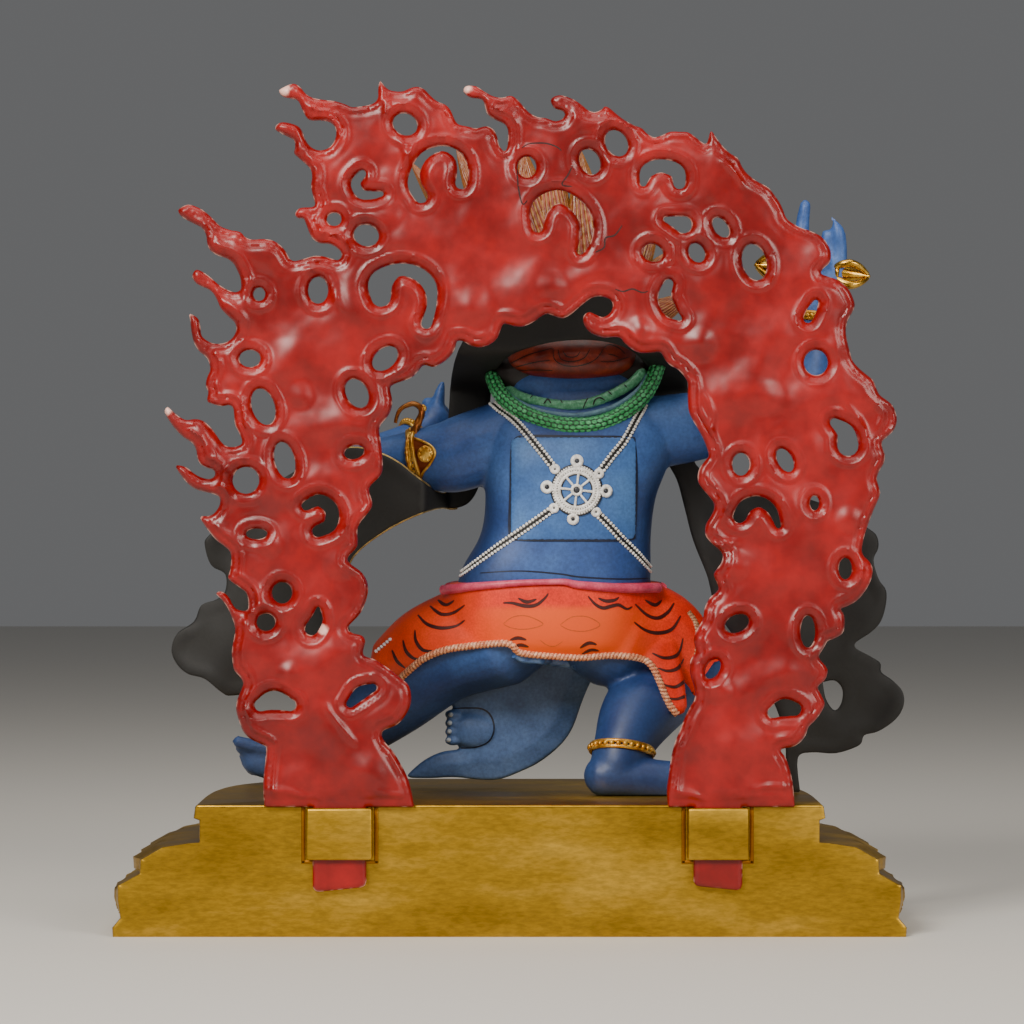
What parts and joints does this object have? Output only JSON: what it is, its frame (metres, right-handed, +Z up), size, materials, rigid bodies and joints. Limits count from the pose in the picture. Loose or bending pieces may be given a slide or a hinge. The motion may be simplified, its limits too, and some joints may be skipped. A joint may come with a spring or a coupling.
{
  "type": "vajrapani statue",
  "caption": "Striding guardian-deity statue on a stepped gilt pedestal, with a removable pierced flame aureole held in loops on the pedestal's flat back.",
  "frame": {"origin": "on the pedestal's underside, 75 mm in front of its flat back and midway between its sides", "axes": "+Z up, -Y the way the figure faces, +Y out of the pedestal's flat back, +X the figure's left"},
  "size_m": [0.3027, 0.1868, 0.3209],
  "materials": {
    "pedestal": "satin gilt",
    "flame_aureole": "glossy red paint",
    "figure": "satin blue paint with painted dress",
    "back_panel": "satin blue paint",
    "celestial_scarf": "matt dark grey paint with gold edges",
    "vajra": "gilt"
  },
  "bodies": {
    "root": {"pedestal": "pedestal", "flame_aureole": "flame_aureole", "figure": "figure", "back_panel": "back_panel", "celestial_scarf": "celestial_scarf", "vajra": "vajra"}
  },
  "joints": []
}
